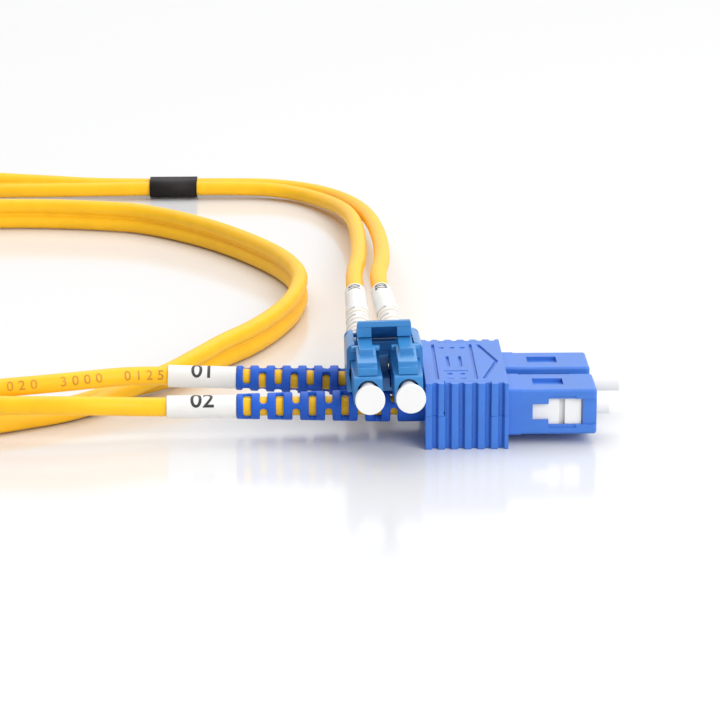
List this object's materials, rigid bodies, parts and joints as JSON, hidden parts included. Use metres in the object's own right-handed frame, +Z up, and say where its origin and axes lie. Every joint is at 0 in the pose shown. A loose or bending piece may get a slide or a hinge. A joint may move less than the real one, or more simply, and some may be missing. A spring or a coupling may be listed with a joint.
{
  "type": "duplex sc fibre connector on a patch lead",
  "caption": "Duplex SC fibre connector with joining clip, slotted boots and dust caps, on a yellow zip-cord lead that ends in a clipped duplex LC connector.",
  "frame": {"origin": "bottom centre of the SC end, its clip lying on the surface", "axes": "+X along the SC plugs towards their noses, +Y across them, +Z up"},
  "size_m": [0.1978, 0.1941, 0.0195],
  "materials": {
    "sc_blue": "satin moulded plastic",
    "lc_blue": "satin moulded plastic",
    "white": "white moulded plastic",
    "ceramic": "polished zirconia",
    "steel": "plated metal",
    "jacket": "soft cord jacket",
    "band": "black heat-shrink"
  },
  "bodies": {
    "lead": {"sc_near_frame": "white", "sc_near_spring": "steel", "sc_near_backbone": "steel", "sc_near_crimp": "steel", "sc_near_buffer": "white", "sc_near_boot": "sc_blue", "sc_near_marker": "white", "sc_near_leg": "jacket", "sc_far_frame": "white", "sc_far_spring": "steel", "sc_far_backbone": "steel", "sc_far_crimp": "steel", "sc_far_buffer": "white", "sc_far_boot": "sc_blue", "sc_far_marker": "white", "sc_far_leg": "jacket", "split_band_sc": "band", "zip_cord": "jacket", "split_band_lc": "band", "lc_left_leg": "jacket", "lc_left_marker": "white", "lc_left_boot": "white", "lc_left_crimp": "steel", "lc_left_buffer": "white", "lc_left_backbone": "steel", "lc_left_spring": "steel", "lc_left_body": "lc_blue", "lc_right_leg": "jacket", "lc_right_marker": "white", "lc_right_boot": "white", "lc_right_crimp": "steel", "lc_right_buffer": "white", "lc_right_backbone": "steel", "lc_right_spring": "steel", "lc_right_body": "lc_blue", "lc_clip": "lc_blue"},
    "sc_grip": {"sc_clip_lower": "sc_blue", "sc_clip_upper": "sc_blue", "sc_near_housing": "sc_blue", "sc_far_housing": "sc_blue"},
    "near_ferrule": {"sc_near_ferrule": "ceramic", "sc_near_flange": "steel"},
    "near_cap": {"sc_near_cap": "white"},
    "far_ferrule": {"sc_far_ferrule": "ceramic", "sc_far_flange": "steel"},
    "far_cap": {"sc_far_cap": "white"},
    "left_ferrule": {"lc_left_ferrule": "ceramic", "lc_left_flange": "steel"},
    "left_cap": {"lc_left_cap": "white"},
    "left_latch": {"lc_left_latch": "lc_blue"},
    "right_ferrule": {"lc_right_ferrule": "ceramic", "lc_right_flange": "steel"},
    "right_cap": {"lc_right_cap": "white"},
    "right_latch": {"lc_right_latch": "lc_blue"},
    "trigger": {"lc_trigger": "lc_blue"}
  },
  "joints": [
    {"name": "grip_slide", "type": "slide", "parent": "lead", "child": "sc_grip", "axis": [1, 0, 0], "range_m": [0, 0.0012]},
    {"name": "near_ferrule_slide", "type": "slide", "parent": "lead", "child": "near_ferrule", "axis": [-1, 0, 0], "range_m": [0, 0.001], "stiffness_N_per_m": 1000, "springref_m": -0.001, "deforming": ["sc_near_spring"]},
    {"name": "near_cap_pull", "type": "slide", "parent": "near_ferrule", "child": "near_cap", "axis": [1, 0, 0], "range_m": [0, 0.0078]},
    {"name": "far_ferrule_slide", "type": "slide", "parent": "lead", "child": "far_ferrule", "axis": [-1, 0, 0], "range_m": [0, 0.001], "stiffness_N_per_m": 1000, "springref_m": -0.001, "deforming": ["sc_far_spring"]},
    {"name": "far_cap_pull", "type": "slide", "parent": "far_ferrule", "child": "far_cap", "axis": [1, 0, 0], "range_m": [-0.0028, 0.005]},
    {"name": "left_ferrule_slide", "type": "slide", "parent": "lead", "child": "left_ferrule", "axis": [-0.0314, 0.9995, 0], "range_m": [0, 0.001], "stiffness_N_per_m": 600, "springref_m": -0.001, "deforming": ["lc_left_spring"]},
    {"name": "left_cap_pull", "type": "slide", "parent": "left_ferrule", "child": "left_cap", "axis": [0.0314, -0.9995, 0], "range_m": [0, 0.0075]},
    {"name": "right_ferrule_slide", "type": "slide", "parent": "lead", "child": "right_ferrule", "axis": [-0.0314, 0.9995, 0], "range_m": [0, 0.001], "stiffness_N_per_m": 600, "springref_m": -0.001, "deforming": ["lc_right_spring"]},
    {"name": "right_cap_pull", "type": "slide", "parent": "right_ferrule", "child": "right_cap", "axis": [0.0314, -0.9995, 0], "range_m": [0, 0.0075]},
    {"name": "trigger_press", "type": "hinge", "parent": "lead", "child": "trigger", "pos_m": [-0.00774, 0.00059, 0.0151], "axis": [0.9993, 0.0314, 0.0209], "range_deg": [0, 6.2]},
    {"name": "left_latch_press", "type": "hinge", "parent": "lead", "child": "left_latch", "pos_m": [-0.01031, -0.0162, 0.01358], "axis": [-0.9993, -0.0314, -0.0209], "range_deg": [0, 6], "stiffness_Nm_per_rad": 0.02},
    {"name": "right_latch_press", "type": "hinge", "parent": "lead", "child": "right_latch", "pos_m": [-0.00406, -0.016, 0.01371], "axis": [-0.9993, -0.0314, -0.0209], "range_deg": [0, 6], "stiffness_Nm_per_rad": 0.02}
  ],
  "couplings": [
    {"joint": "left_latch_press", "follows": "trigger_press", "ratio": 0.95},
    {"joint": "right_latch_press", "follows": "trigger_press", "ratio": 0.95}
  ]
}
